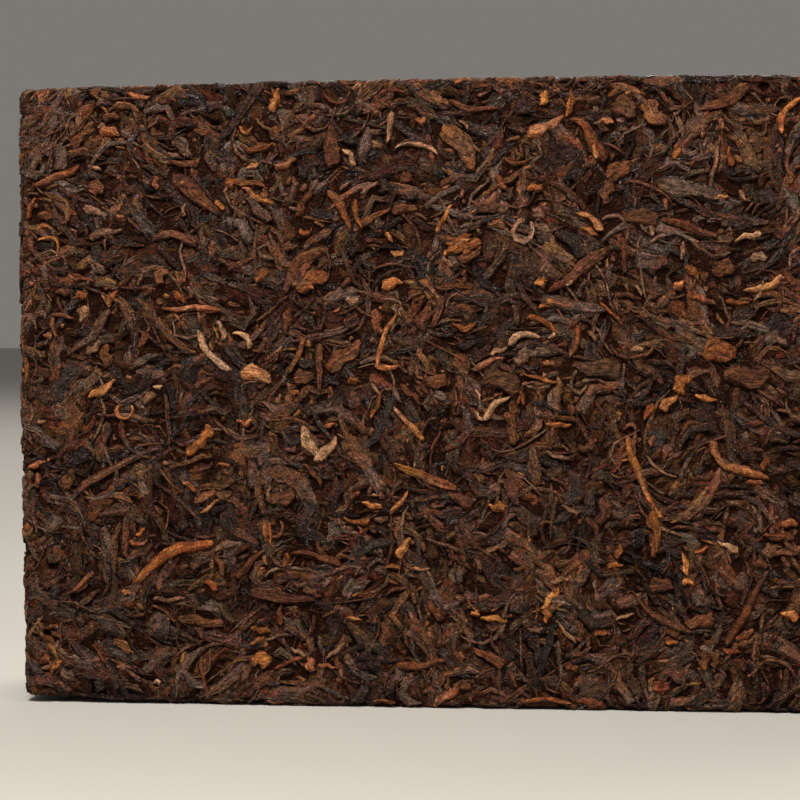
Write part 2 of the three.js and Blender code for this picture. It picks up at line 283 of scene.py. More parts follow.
# Pixel across and down, heading in degrees anticlockwise from the right, length, width, tone and, where a
# leaf isn't straight, its bend in degrees.
GOLDEN_LAID = {
    "upper left": [
        (137, 93, -10, 3.6, 0.9, 0.8), (108, 129, -10, 3.2, 1.6, 0.8), (109, 113, 0, 2.5, 1.3, 0.2),
        (55, 173, 22, 7.9, 1.3, 0.5, 55), (43, 226, 0, 2.9, 0.6, 0.9, -150),
        (49, 243, -43, 5.8, 0.6, 0.9, -163), (180, 181, 0, 2.2, 1.7, 0.8), (154, 181, 100, 2.2, 1.2, 0.5),
        (197, 197, -43, 4.8, 1, 0.2), (219, 204, -40, 2, 0.9, 0.8), (111, 297, 60, 3, 1.2, 0.8),
        (85, 278, -10, 2.8, 0.6, 0.5), (62, 290, 0, 2.2, 1.2, 0.2), (80, 295, 0, 2.5, 1.3, 0.5),
        (29, 205, 70, 3.3, 0.9, 0.5), (44, 213, 0, 2.3, 1.5, 0.2),
    ],
    "upper middle left": [
        (274, 99, 70, 3.8, 1.4, 0.8), (291, 91, 15, 2.8, 1.1, 0.2), (336, 94, 0, 6.3, 0.6, 0.2, 180),
        (381, 103, -35, 2.8, 1.3, 0.2), (285, 163, 28, 3.8, 1.2, 0.5), (251, 165, 15, 2, 0.8, 0.8),
        (254, 145, 0, 5.3, 1.2, 0.2, 60), (245, 127, 0, 3, 0.6, 0.8, 150), (228, 182, 0, 2, 1.5, 0.5),
        (257, 195, -28, 5.5, 1, 0.8), (340, 209, -62, 6.9, 1.4, 0.4), (357, 214, 103, 4.7, 0.9, 0.35),
        (305, 200, 58, 5.5, 1.1, 0.2), (305, 230, 0, 2.5, 0.8, 0.5, 200), (392, 284, 15, 3.4, 1.6, 0.85),
        (397, 253, 0, 2, 1.1, 0.9), (389, 237, -50, 2, 0.8, 0.8), (240, 263, 25, 4.5, 1, 0.2, -30),
        (261, 275, 40, 2.8, 1.6, 0.5), (309, 287, 0, 1.4, 0.9, 0.8),
    ],
    "upper middle right": [
        (474, 106, -8, 8, 1, 0.2), (544, 98, 75, 2.5, 1.6, 0.9), (570, 103, 80, 4, 1.2, 0.5, 30),
        (546, 126, 30, 6.2, 1.7, 0.9), (589, 138, -55, 8.4, 1.9, 0.3, -70), (596, 148, -85, 3.2, 1.1, 0.8),
        (518, 160, 0, 4.5, 0.7, 0.2, 130), (447, 212, 60, 2.8, 0.8, 0.8), (440, 224, 60, 2.8, 0.8, 0.8),
        (458, 242, 10, 4, 0.9, 0.8), (468, 248, 60, 2.5, 0.8, 0.8), (452, 250, 30, 3, 0.8, 0.8),
        (590, 220, -35, 5, 1, 0.9, -50), (590, 231, -30, 2.6, 0.9, 0.9), (540, 282, 0, 2, 1.4, 0.8),
        (501, 182, -60, 2.5, 1.1, 0.5), (535, 188, 0, 2.6, 1.2, 0.5), (420, 120, 0, 1.8, 1.2, 0.5),
    ],
    "upper right": [
        (606, 121, 0, 2.3, 1, 0.8), (790, 112, 60, 6.5, 1.1, 0.9, -75), (676, 151, 80, 2.2, 1.2, 0.5),
        (731, 155, -80, 3, 0.9, 0.5), (608, 193, 75, 4, 2, 0.2), (690, 227, -20, 8.5, 1.5, 0.1),
        (722, 196, 0, 2.2, 0.7, 0.8), (650, 190, -25, 8, 0.7, 0.2, -90), (792, 176, 90, 2, 0.8, 0.5),
        (625, 255, -90, 5.2, 1, 0.2), (692, 272, -40, 3, 1.4, 0.5), (679, 285, 0, 2, 1.4, 0.8),
        (764, 284, 20, 6, 1.1, 1, 45), (789, 276, -50, 3.4, 1.2, 0.2),
    ],
    "middle left": [
        (102, 389, 32, 4.8, 1.3, 1), (47, 334, 0, 1.4, 0.9, 0.8), (190, 308, 0, 9, 1.1, 0.7),
        (178, 297, -45, 2.8, 1.2, 0.5), (124, 410, 0, 5.5, 0.7, 0.9, 300), (196, 446, 45, 4.2, 1.6, 0.7),
        (205, 436, 60, 3.2, 1.6, 0.8), (204, 497, 30, 3.6, 1.4, 0.6), (38, 465, 22, 3.8, 0.9, 0.8),
        (37, 482, 85, 2.3, 1, 0.5), (189, 487, -35, 2.5, 0.9, 0.8),
    ],
    "centre left": [
        (287, 321, 80, 4, 1.6, 0.2), (256, 376, -20, 5, 2.3, 0.95), (353, 350, 38, 2.2, 1.4, 0.8),
        (377, 322, -78, 4, 1.6, 0.5), (385, 340, -110, 8.5, 0.9, 0.9, 40), (386, 366, 0, 3.8, 0.9, 0.9, 120),
        (244, 421, 0, 2.8, 0.8, 0.8, 90), (330, 425, 10, 1.8, 0.8, 0.8), (312, 475, -50, 4.5, 0.9, 0.2, -60),
        (376, 405, 68, 4.2, 0.7, 0.5), (408, 424, -48, 6.8, 1.1, 0.9, 20), (411, 395, -40, 4.8, 1, 0.2),
        (353, 381, 0, 1.8, 1.1, 0.5), (295, 393, 0, 1.4, 0.8, 0.8),
    ],
    "centre right": [
        (464, 325, 0, 3.8, 1, 0.5, 95), (543, 323, -30, 5, 1, 0.5), (489, 363, 22, 5, 0.9, 0.7),
        (540, 378, -15, 5.2, 0.6, 0.8, 65), (576, 340, -105, 5, 1.3, 0.5), (546, 304, 25, 2.6, 1, 0.8),
        (559, 425, -2, 3.6, 0.8, 0.8), (586, 448, 5, 2.8, 1.2, 0.2), (434, 450, -105, 6, 0.6, 0.2),
        (522, 398, -75, 2.2, 0.6, 0.6),
    ],
    "middle right": [
        (628, 296, -12, 4, 0.8, 0.2), (612, 314, -45, 5, 0.6, 0.4), (682, 383, 45, 3.2, 2.2, 0.8),
        (669, 402, 35, 3.4, 1.3, 0.8), (648, 412, 55, 2.7, 1.3, 0.5), (707, 398, -15, 3.4, 0.8, 0.8, 60),
        (770, 398, -35, 4.2, 0.6, 0.2), (754, 424, 5, 3, 0.9, 0.2), (716, 453, -70, 3.8, 1.3, 0.7, 35),
        (741, 468, -20, 9.2, 1.5, 0.75, 10), (643, 478, -68, 13, 1.1, 0.75, 30), (635, 443, -95, 4, 0.7, 0.5),
        (630, 428, 0, 2.5, 0.7, 0.5, -180), (659, 514, -60, 1.5, 0.9, 1), (766, 464, 60, 2.2, 1.2, 0.5),
        (755, 483, 0, 2.5, 0.8, 0.6), (738, 302, -5, 3.5, 0.7, 0.6), (703, 299, -20, 4.2, 1, 0.5),
    ],
    "lower left": [
        (172, 560, 27, 14, 1.8, 0.7, -55), (209, 507, 38, 3.7, 0.6, 0.9), (138, 543, 5, 3.2, 0.7, 0.8, 70),
        (140, 533, 45, 1.8, 0.8, 0.8), (125, 594, 0, 1.5, 0.8, 0.9), (80, 585, 42, 5, 0.9, 0.5),
        (163, 614, -35, 4.5, 0.6, 0.2), (98, 656, -60, 3.6, 1.1, 0.2), (54, 671, 48, 2.8, 0.9, 0.7),
        (210, 586, -35, 2.2, 1.2, 0.5),
    ],
    "lower middle left": [
        (250, 564, 45, 6, 1.1, 0.2), (264, 531, 95, 3.4, 0.7, 0.8), (269, 534, 95, 3.4, 0.7, 0.8),
        (274, 527, 0, 6.5, 0.6, 0.6, 280), (285, 560, 70, 2.6, 1.2, 0.5), (315, 558, -15, 8, 0.9, 0.2, -80),
        (260, 630, -8, 3.2, 1, 0.5), (256, 641, 28, 2.8, 0.7, 0.8), (260, 661, -5, 3.3, 2.3, 0.9),
        (279, 615, 85, 3.2, 1.2, 0.2), (353, 619, -5, 2.5, 0.7, 0.8, 30), (309, 664, 80, 2.4, 1.7, 0.8),
        (288, 663, 25, 4.5, 0.7, 0.5, -30), (326, 667, -5, 2.8, 0.7, 0.8), (372, 505, -12, 3.2, 1, 0.8),
        (356, 520, -5, 4.2, 0.8, 0.5, 100), (399, 503, 50, 4.5, 0.8, 0.8), (404, 548, 65, 3.6, 1.3, 1),
        (392, 568, 0, 2.5, 0.6, 0.6, -120), (218, 565, -60, 3.5, 1.2, 0.2), (421, 664, 8, 7.5, 1.3, 0.3),
    ],
    "lower middle right": [
        (420, 569, 0, 3, 0.6, 0.8), (494, 620, -8, 4.2, 0.8, 0.9), (550, 600, 48, 4.3, 1.2, 0.9, 30),
        (546, 615, -85, 2.6, 1.2, 0.8), (601, 634, 0, 2, 0.8, 0.8), (512, 679, -60, 2.8, 1, 0.2),
        (498, 507, 0, 2.8, 1.3, 0.8), (460, 499, -25, 4, 1.8, 0.2), (475, 614, 0, 1.4, 1, 0.8),
        (572, 668, 0, 2, 1.1, 0.5), (465, 687, 0, 2, 1.2, 0.2), (546, 702, -1, 7.5, 0.8, 0.6),
    ],
    "lower right": [
        (619, 552, 70, 2.2, 1.1, 0.8), (616, 566, 5, 2.4, 0.9, 0.8), (685, 564, -78, 3.4, 0.9, 1),
        (689, 583, -15, 2, 0.9, 0.8), (702, 550, 25, 2.2, 0.8, 0.8), (660, 614, -35, 11, 1.1, 0.2, 35),
        (748, 608, 62, 12.5, 1.2, 0.2, 12), (746, 636, 32, 3.2, 1, 0.5), (732, 652, -10, 2.8, 0.9, 0.2),
        (790, 616, -15, 2.8, 1.4, 0.8), (779, 537, -3, 4.6, 1.3, 0.2), (788, 524, 10, 2.8, 1.4, 0.5),
        (760, 565, 0, 2.3, 1.4, 0.2), (672, 643, 0, 2, 0.8, 0.6),
    ],
}
# Points along the midlines of the leaves laid so far, with the half width there. Leaves that are strewn
# afterwards make room for them.
laid_midlines = []


def stations(rings):
    """Where a leaf's two tips and the rings between them lie, from -1 to 1, closer together at the tips."""
    return np.sin(np.linspace(-1, 1, rings + 2) * LAST_STATION) / math.sin(LAST_STATION)


def drawn(count, draw, ranges):
    """A random value for each leaf from each range."""
    values = {}
    for key, (start, end, power) in ranges.items():
        values[key] = start + (end - start) * draw.uniform(0, 1, count) ** power
    return values


def with_midlines(leaves, rings, heading, place):
    """A leaf's midline turns evenly by `bend` from tip to tip, sways by `wave` and doubles back by `fold`
    about its middle: the cosine and sine of its heading are summed from tip to tip, about its place."""
    t = stations(rings)
    turn = leaves["bend"][:, None] * t / 2 + leaves["wave"][:, None] * np.sin(math.pi * t)
    turn = turn + leaves["fold"][:, None] * np.tanh(FOLD_SHARPNESS * t) / 2 + heading[:, None]
    between = (turn[:, 1:] + turn[:, :-1]) / 2
    step = np.diff(t) * leaves["length"][:, None] / 2
    for key, way, middle in (("a", np.cos, place[:, :1]), ("b", np.sin, place[:, 1:])):
        run = np.pad(np.cumsum(way(between) * step, axis=1), ((0, 0), (1, 0)))
        leaves[key] = run - run.mean(axis=1, keepdims=True) + middle
    return leaves


def seen_at(pixels):
    """Where on the brick's front the camera sees points of its picture: the ray through each pixel is carried
    on to the plane of the front."""
    across = pixels[:, 0] - PICTURE / 2
    up = PICTURE / 2 - pixels[:, 1]
    ahead = np.full(len(pixels), -PICTURE * LENS / SENSOR)
    rays = np.column_stack([across, up, ahead]) @ np.array(camera.matrix_world.to_3x3()).T
    way = (CENTRE[1] - HALF[1] - VIEW_FROM[1]) / rays[:, 1]
    at = VIEW_FROM + way[:, None] * rays - CENTRE
    return at[:, [0, 2]]


def laid(places, rings, seed, ranges):
    """Leaves laid one by one on the front, uppermost, by their places, headings, sizes, bends and tones. The
    rest is drawn from the ranges."""
    draw = np.random.default_rng(seed)
    # A row without a bend is a straight leaf's.
    rows = np.array([(*place, 0)[:7] for group in places.values() for place in group])
    count = len(rows)
    leaves = drawn(count, draw, ranges)
    leaves["length"], leaves["width"], leaves["tone"], leaves["bend"] = rows[:, 3:].T
    leaves["bend"] = np.radians(leaves["bend"])
    leaves["fold"] = np.zeros(count)
    for key in ("wave", "dive", "sink"):
        leaves[key] *= LAID_CALM
    leaves["ragged"] *= LAID_RAGGED
    leaves["depth"] = draw.uniform(0, LAID_DEPTH, count)
    leaves["side"] = np.zeros(count, int)
    leaves = with_midlines(leaves, rings, np.radians(rows[:, 2]), seen_at(rows[:, :2]))
    leaves["pressed_in"] = np.zeros((count, rings + 2))
    reach = np.broadcast_to(leaves["width"][:, None] / 2, leaves["a"].shape)
    laid_midlines.append(np.stack([leaves["a"], leaves["b"], reach], axis=-1).reshape(-1, 3))
    return leaves


def spread_over_skin(count, draw):
    """Places spread evenly over the six sides: an evenly stepping sequence on each, from a random start,
    with as many places as its share of the area."""
    area = SIDE_HALVES[:, 0] * SIDE_HALVES[:, 1]
    marks = np.round(np.cumsum(area) / area.sum() * count).astype(int)
    side = np.searchsorted(marks, np.arange(count), side="right")
    steps = np.arange(count)[:, None] * EVEN_STEP + draw.uniform(0, 1, (6, 2))[side]
    return side, (2 * (steps % 1) - 1) * SIDE_HALVES[side, :2]


def strewn(count, rings, seed, ranges, front=True):
    """Leaves drawn at random from the ranges and strewn over the skin. They lie in swirls, and bend as their
    swirl does. Where a laid leaf lies on one of the front's, that one is pressed in. Without `front`, those
    among the laid leaves are left out."""
    draw = np.random.default_rng(seed)
    side, place = spread_over_skin(count, draw)
    leaves = drawn(count, draw, ranges)

    def varied(place, size, seed):
        """A ripple over the skin, at a place on each leaf's side."""
        on_side = np.einsum("nj,njk->nk", place, SIDES[side, :2])
        return ripple(SWIRLS_AT * SIDES[side, 2] + on_side, size, seed)

    stray = draw.normal(0, STRAY, count) + math.pi * draw.integers(0, 2, count)
    heading = SWIRL_TURN * varied(place, SWIRL, seed=2) + stray
    half = leaves["length"][:, None] / 2 * np.column_stack([np.cos(heading), np.sin(heading)])
    turned = varied(place + half, SWIRL, seed=2) - varied(place - half, SWIRL, seed=2)
    leaves["bend"] = np.clip(leaves["bend"] + SWIRL_TURN * turned, -MOST_BEND, MOST_BEND)
    leaves = with_midlines(leaves, rings, heading, place)
    leaves["side"] = side
    leaves["tone"] = draw.uniform(0, 1, count) + PATCH_TONE * varied(place, PATCH, seed=3)
    leaves["pressed_in"] = np.zeros((count, rings + 2))
    above = np.concatenate(laid_midlines).astype(np.float32)
    in_front = np.flatnonzero(side == 0)
    a, b = (leaves[key][in_front, :, None].astype(np.float32) for key in "ab")
    gap = np.min(np.hypot(a - above[:, 0], b - above[:, 1]) - above[:, 2], axis=-1)
    gap -= leaves["width"][in_front, None] / 2
    leaves["pressed_in"][in_front] = MAKES_ROOM * np.clip(ROOM_SHARE - gap / ROOM_EDGE, 0, 1)
    if front:
        return leaves
    keep = (side != 0) | (place[:, 0] > LAID_BY_HAND)
    return {key: value[keep] for key, value in leaves.items()}


def laid_and_strewn(places, count, rings, seed, ranges, front=True):
    """The laid leaves of a kind and the strewn ones as one group."""
    groups = laid(places, rings, seed, ranges), strewn(count, rings, seed + 1, ranges, front)
    return {key: np.concatenate([group[key] for group in groups]) for key in groups[0]}


def on_skin(side, a, b, raised):
    """Points at distances a and b along a side from its middle, raised along the skin's normal. What reaches
    beyond the flat of the side is carried on in the same direction, round the rounded edge as on a ball, and
    then straight down the next side."""
    place = np.stack([a, b], axis=-1)
    inner = SIDE_HALVES[side, :2] - EDGE_RADIUS
    flat = np.clip(place, -inner, inner)
    over = place - flat
    reach = np.linalg.norm(over, axis=-1, keepdims=True)
    over /= np.maximum(reach, 1e-9)
    angle = np.minimum(reach / EDGE_RADIUS, math.pi / 2)
    level = SIDE_HALVES[side, 2:] - EDGE_RADIUS * (1 - np.cos(angle)) - (reach - EDGE_RADIUS * angle)
    along, across, out = (SIDES[side, k] for k in range(3))
    lean = over[..., :1] * along + over[..., 1:] * across
    normal = np.cos(angle) * out + np.sin(angle) * lean
    points = flat[..., :1] * along + flat[..., 1:] * across + level * out + EDGE_RADIUS * np.sin(angle) * lean
    return bowed(CENTRE + points + raised[..., None] * normal)


def pressed(raised):
    """What would stand within SQUEEZE of the mould's wall or beyond it is squeezed together below it, by an
    exponential that meets the unpressed height with the same slope."""
    over = np.maximum(raised + SQUEEZE, 0)
    return np.where(over > 0, -SQUEEZE * np.exp(-over / SQUEEZE), raised)


def leaf_surface(leaves, rings, columns, seed):
    """The points of the leaves, station by station, and what a finish reads at them. A leaf's section has
    `columns` points over its top, on a flattened ellipse, and one under its keel, and is carried along the
    midline, swelling from the tips, which sink in. Folds run along it: a sine across the section that the
    twist shifts, and an unevenness of each column's own. Its edges are as ragged as the range says, and its
    ends are torn."""
    draw = np.random.default_rng(seed)
    t = stations(rings)[:, None]
    count = len(leaves["side"])
    around = columns + 1
    each = {key: value[:, None, None] for key, value in leaves.items() if value.ndim == 1}
    a, b = leaves["a"], leaves["b"]
    heading = np.arctan2(np.gradient(b, axis=1), np.gradient(a, axis=1))[..., None]
    swell = np.sqrt(np.clip(1 - np.abs(t) ** each["blunt"], 0, None)) * (1 + each["taper"] * t)

    def sway(shape, pitch=FOLD_PITCH):
        """A sine along the leaf of random pitch and phase, one for each entry of the shape."""
        return np.sin(draw.uniform(*pitch, shape) * t + draw.uniform(0, 2 * math.pi, shape))

    x = np.append(np.linspace(-1, 1, columns), 0)
    top = (1 - np.abs(x) ** EDGE_DROP) ** (1 / EDGE_DROP) - 1
    top[-1] = -KEEL
    # Folds die away towards a leaf's edges, and its keel has none.
    inner = (1 - np.abs(x) ** 4) * (np.arange(around) < columns)
    folds = draw.uniform(*FOLDS, (count, 1, 1))
    even = np.sin(folds * x + each["twist"] * t + draw.uniform(0, 2 * math.pi, (count, 1, 1)))
    fold = inner * (EVEN_FOLDS * even + UNEVEN_FOLDS * sway((count, 1, around)))
    frayed = 1 + each["ragged"] * sway((count, 1, around), OUTLINE_PITCH)
    weave = each["width"] * each["ragged"] / 2 * sway((count, 1, 1), WEAVE_PITCH)
    offset = each["width"] / 2 * swell * x * frayed + weave
    # Only the ends are torn, so the tear grows steeply towards them.
    torn = TORN * each["ragged"] * each["width"] * draw.uniform(*TORN_RANGE, (count, 1, around))
    torn = torn * t**6 * np.sign(t)
    raised = each["dive"] * t - each["sink"] * t**2 - each["depth"] + RISE * sway((count, 1, 1))
    raised = raised + each["roll"] * np.cos(each["twist"] * t) * offset
    body = THIN_TIP + (1 - THIN_TIP) * np.minimum(swell, 1)
    raised = raised + body * (each["thickness"] * top + each["wrinkle"] * fold)
    raised = raised - leaves["pressed_in"][..., None]
    at_a = a[..., None] - offset * np.sin(heading) + torn * np.cos(heading)
    at_b = b[..., None] + offset * np.cos(heading) + torn * np.sin(heading)
    side = np.broadcast_to(each["side"], at_a.shape)
    points = on_skin(side, at_a, at_b, pressed(raised))

    run = np.hypot(np.diff(a, axis=1), np.diff(b, axis=1)).cumsum(axis=1)
    along = np.pad(run, ((0, 0), (1, 0)))[..., None]
    across = np.where(np.arange(around) == columns, each["width"], offset)
    own_place = OWN_GRAIN * np.arange(count)[:, None, None]
    grain = np.stack(np.broadcast_arrays(across, along, own_place), axis=-1)
    # The crest feeds only the finish's painted shade and highlight: up folds lighter, down folds darker, and
    # a leaf's edges as dark as a deep fold.
    crest = np.broadcast_to(np.where(inner > EDGE_FOLDS, fold, EDGE_PAINTED_SHADE), at_a.shape)
    tone = np.broadcast_to(each["tone"], at_a.shape)
    return points, {"grain": grain, "crest": crest, "tone": tone}


def leaf_net(count, rings, around):
    """The faces over `count` closed tubes, each of which has `rings` rings of `around` points between two
    tips: which points of a leaf are kept, the point at each corner of each face, how many corners each face
    has, and where each corner lies in a flat map."""
    # The tips are single points: the first of their station.
    keep = np.ones((rings + 2, around), bool)
    keep[[0, -1], 1:] = False
    number = np.cumsum(keep).reshape(keep.shape) - 1
    number[0] = 0
    number[-1] = keep.sum() - 1
    row, column = np.meshgrid(np.arange(rings + 1), np.arange(around), indexing="ij")
    rows = np.stack([row, row + 1, row + 1, row], -1).reshape(-1, 4)
    columns = np.stack([column, column, column + 1, column + 1], -1).reshape(-1, 4)
    index = number[rows, columns % around]
    # Between two rings a face has four corners, and at a tip three.
    first, last = rows[:, 0] == 0, rows[:, 0] == rings
    picks = [(~first & ~last, [0, 1, 2, 3]), (first, [0, 1, 2]), (last, [0, 1, 3])]
    start = np.arange(count)[:, None, None] * keep.sum()
    corners = np.concatenate([(start + index[pick][:, which]).ravel() for pick, which in picks])
    counts = np.concatenate([np.full(count * pick.sum(), len(which)) for pick, which in picks])

    # Every leaf has a cell of its own in the flat map, about twice as long as it is wide.
    down = math.ceil(math.sqrt(count / 2))
    over = math.ceil(count / down)
    cell = np.stack([np.arange(count) % over, np.arange(count) // over], -1)[:, None, None]
    flat = CELL_MARGIN + (1 - 2 * CELL_MARGIN) * np.stack([columns / around, rows / (rings + 1)], -1)
    flat = [(cell + flat[pick][:, which]).reshape(-1, 2) for pick, which in picks]
    return keep, corners, counts, np.concatenate(flat) / (over, down)


def leaf_piece(name, leaves, columns, seed, finish):
    """Leaves as one mesh of closed tubes. Its finish reads the grain, crest and tone at each point: the place
    on the leaf, how far the point stands up in a fold for its painted shade, and the leaf's own lightness."""
    rings = leaves["a"].shape[1] - 2
    points, readings = leaf_surface(leaves, rings, columns, seed)
    keep, corners, counts, flat_map = leaf_net(len(points), rings, columns + 1)
    piece = as_piece(name, points[:, keep].reshape(-1, 3), corners, counts, finish)
    for key, value in readings.items():
        kind, field = ("FLOAT_VECTOR", "vector") if key == "grain" else ("FLOAT", "value")
        attribute = piece.data.attributes.new(key, kind, "POINT")
        attribute.data.foreach_set(field, value[:, keep].astype(np.float32).ravel())
    piece.data.uv_layers.new(name="OFBake").data.foreach_set("uv", flat_map.astype(np.float32).ravel())
    return piece


# The noises of a leaf's finish. Each has its patches to the millimetre across and along the leaf, how much
# it differs from leaf to leaf, and its detail.
BLOTCH_NOISE = ((1, 0.7, 1), 2)
LUMP_NOISE = ((1.5, 1.1, 1), 1)
PLEAT_NOISE = ((1.7, 0.25, 1), 0.5)
CRINKLE_NOISE = ((3.2, 2.4, 1), 1.5)
FADE_NOISE = ((0.2, 0.12, 1), 0)
HUE_NOISE = ((0.3, 0.2, 1.7), 1)
PLEAT_GAIN = 5
PLEAT_POWER = 0.6  # less than 1 makes broad pleats with narrow creases

# A leaf's relief is its start and these shares of three noises.
RELIEF_START = -0.7
LUMPS = 1.8
CRINKLES = 2.2
PLEATS = 0.35
RELIEF_MEAN = 0.6
RELIEF_DEPTH = 0.42
PAINTED_RIDGE_LIGHT = 0.25  # how far the relief shifts a leaf's colour along its row: up on ridges as a painted highlight, down in creases as painted shade
FOLD_PAINTED_SHADE = 0.3  # how far the mesh's own folds count as relief for the painted shade and highlight
UNFADED = 0.55  # a leaf fades where its slow noise is less than this
FADED_DARKER = 0.5  # how much darker a faded leaf is, as a share of how much greyer it is
WARM_HUE = 0.4965  # 0.5 leaves a hue as it is, and less makes it redder


def leaf_finish(name, colours, roughness=0.6, gloss=0.12, mottle=1.6, furrow=0.7, fading=0.4, hues=0.085):
    """A dry leaf. Its own tone picks a colour from the row of colours, shifted by blotches and, as a painted
    highlight, a little up the row on ridges. It is lumpy, pleated lengthwise and crinkled all over: pleats
    and crinkles are noise folded about its middle, so that rounded ridges meet in sharp creases. They raise a
    bump, with painted shade in the furrows and a painted highlight on the ridges. Slower noise, nearly steady
    over one leaf, fades some leaves and turns others redder or yellower. `mottle` is how far the blotches
    shift the colour, `furrow` how strong the painted shade and highlight are, and `fading` and `hues` how far
    leaves fade and turn."""
    finish = bpy.data.materials.new(name)
    finish.use_nodes = True
    nodes, links = finish.node_tree.nodes, finish.node_tree.links
    shader = nodes["Principled BSDF"]
    shader.inputs["Specular IOR Level"].default_value = gloss
    shader.inputs["Roughness"].default_value = roughness

    def read(attribute):
        """The node that reads one of the mesh's readings."""
        node = nodes.new("ShaderNodeAttribute")
        node.attribute_name = attribute
        return node

    def noise(patches, detail):
        """Noise on the leaf's own surface."""
        at = nodes.new("ShaderNodeMapping")
        at.inputs["Scale"].default_value = patches
        links.new(read("grain").outputs["Vector"], at.inputs["Vector"])
        node = nodes.new("ShaderNodeTexNoise")
        node.inputs["Scale"].default_value = 1
        node.inputs["Detail"].default_value = detail
        node.inputs["Distortion"].default_value = 0.5
        links.new(at.outputs["Vector"], node.inputs["Vector"])
        return node.outputs["Fac"]

    def maths(operation, *inputs):
        """The outcome of one operation on numbers or on other nodes' outcomes."""
        node = nodes.new("ShaderNodeMath")
        node.operation = operation
        for socket, value in zip(node.inputs, inputs):
            if isinstance(value, (int, float)):
                socket.default_value = value
            else:
                links.new(value, socket)
        return node.outputs[0]

    def folded(patches, detail):
        """Noise folded about its middle."""
        return maths("ABSOLUTE", maths("SUBTRACT", noise(patches, detail), 0.5))

    blotch = noise(*BLOTCH_NOISE)
    lumps = noise(*LUMP_NOISE)
    pleats = maths("POWER", maths("MULTIPLY", folded(*PLEAT_NOISE), PLEAT_GAIN), PLEAT_POWER)
    crinkles = folded(*CRINKLE_NOISE)
    relief = maths("MULTIPLY_ADD", crinkles, CRINKLES, maths("MULTIPLY_ADD", lumps, LUMPS, RELIEF_START))
    relief = maths("MULTIPLY_ADD", pleats, PLEATS, relief)
    tone = maths("ADD", read("tone").outputs["Fac"], maths("MULTIPLY_ADD", blotch, mottle, -mottle / 2))
    tone = maths("MULTIPLY_ADD", maths("SUBTRACT", relief, RELIEF_MEAN), PAINTED_RIDGE_LIGHT, tone)
    ramp = nodes.new("ShaderNodeValToRGB")
    stops = ramp.color_ramp.elements
    while len(stops) < len(colours):
        stops.new(0.5)
    for k, colour in enumerate(colours):
        stops[k].position = k / (len(colours) - 1)
        stops[k].color = (*colour, 1)
    links.new(tone, ramp.inputs["Fac"])

    # Painted shade and highlight: furrows, down folds and leaf edges darker, ridges and up folds lighter.
    painted_shade = nodes.new("ShaderNodeMapRange")
    painted_shade.inputs["From Min"].default_value = 0
    painted_shade.inputs["From Max"].default_value = 2 * RELIEF_MEAN
    painted_shade.inputs["To Min"].default_value = 1 - furrow
    painted_shade.inputs["To Max"].default_value = 1 + furrow
    height = maths("MULTIPLY_ADD", read("crest").outputs["Fac"], FOLD_PAINTED_SHADE, relief)
    links.new(height, painted_shade.inputs["Value"])
    strength = nodes.new("ShaderNodeHueSaturation")
    links.new(ramp.outputs["Color"], strength.inputs["Color"])
    faded = maths("MULTIPLY_ADD", noise(*FADE_NOISE), fading, 1 - UNFADED * fading)
    faded = maths("MINIMUM", faded, 1)
    turned = maths("MULTIPLY_ADD", noise(*HUE_NOISE), hues, WARM_HUE - hues / 2)
    links.new(turned, strength.inputs["Hue"])
    links.new(faded, strength.inputs["Saturation"])
    value = maths("MULTIPLY_ADD", faded, FADED_DARKER, 1 - FADED_DARKER)
    links.new(value, strength.inputs["Value"])
    tinted = nodes.new("ShaderNodeMix")
    tinted.data_type = "RGBA"
    tinted.blend_type = "MULTIPLY"
    tinted.inputs["Factor"].default_value = 1
    links.new(strength.outputs["Color"], tinted.inputs["A"])
    links.new(painted_shade.outputs["Result"], tinted.inputs["B"])
    links.new(tinted.outputs["Result"], shader.inputs["Base Color"])

    bump = nodes.new("ShaderNodeBump")
    bump.inputs["Distance"].default_value = RELIEF_DEPTH * MM
    links.new(relief, bump.inputs["Height"])
    links.new(bump.outputs["Normal"], shader.inputs["Normal"])
    return finish


GOLDEN_COLOURS = [
    (0.07, 0.024, 0.009),
    (0.115, 0.037, 0.012),
    (0.18, 0.055, 0.015),
    (0.27, 0.085, 0.02),
    (0.43, 0.17, 0.047),
]
golden_leaves = laid_and_strewn(GOLDEN_LAID, count=330, rings=10, seed=50, ranges=GOLDEN_BUD, front=False)
golden_finish = leaf_finish("golden_bud", GOLDEN_COLOURS, mottle=0.6, furrow=0.55, hues=0.035)
buds = leaf_piece("golden_buds", golden_leaves, columns=5, seed=52, finish=golden_finish)
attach(buds, "root")
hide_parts("tea_brick")


# ---- The pale stems ----
# Stripped stalks and buds with their down still on, dried to a pale tan.

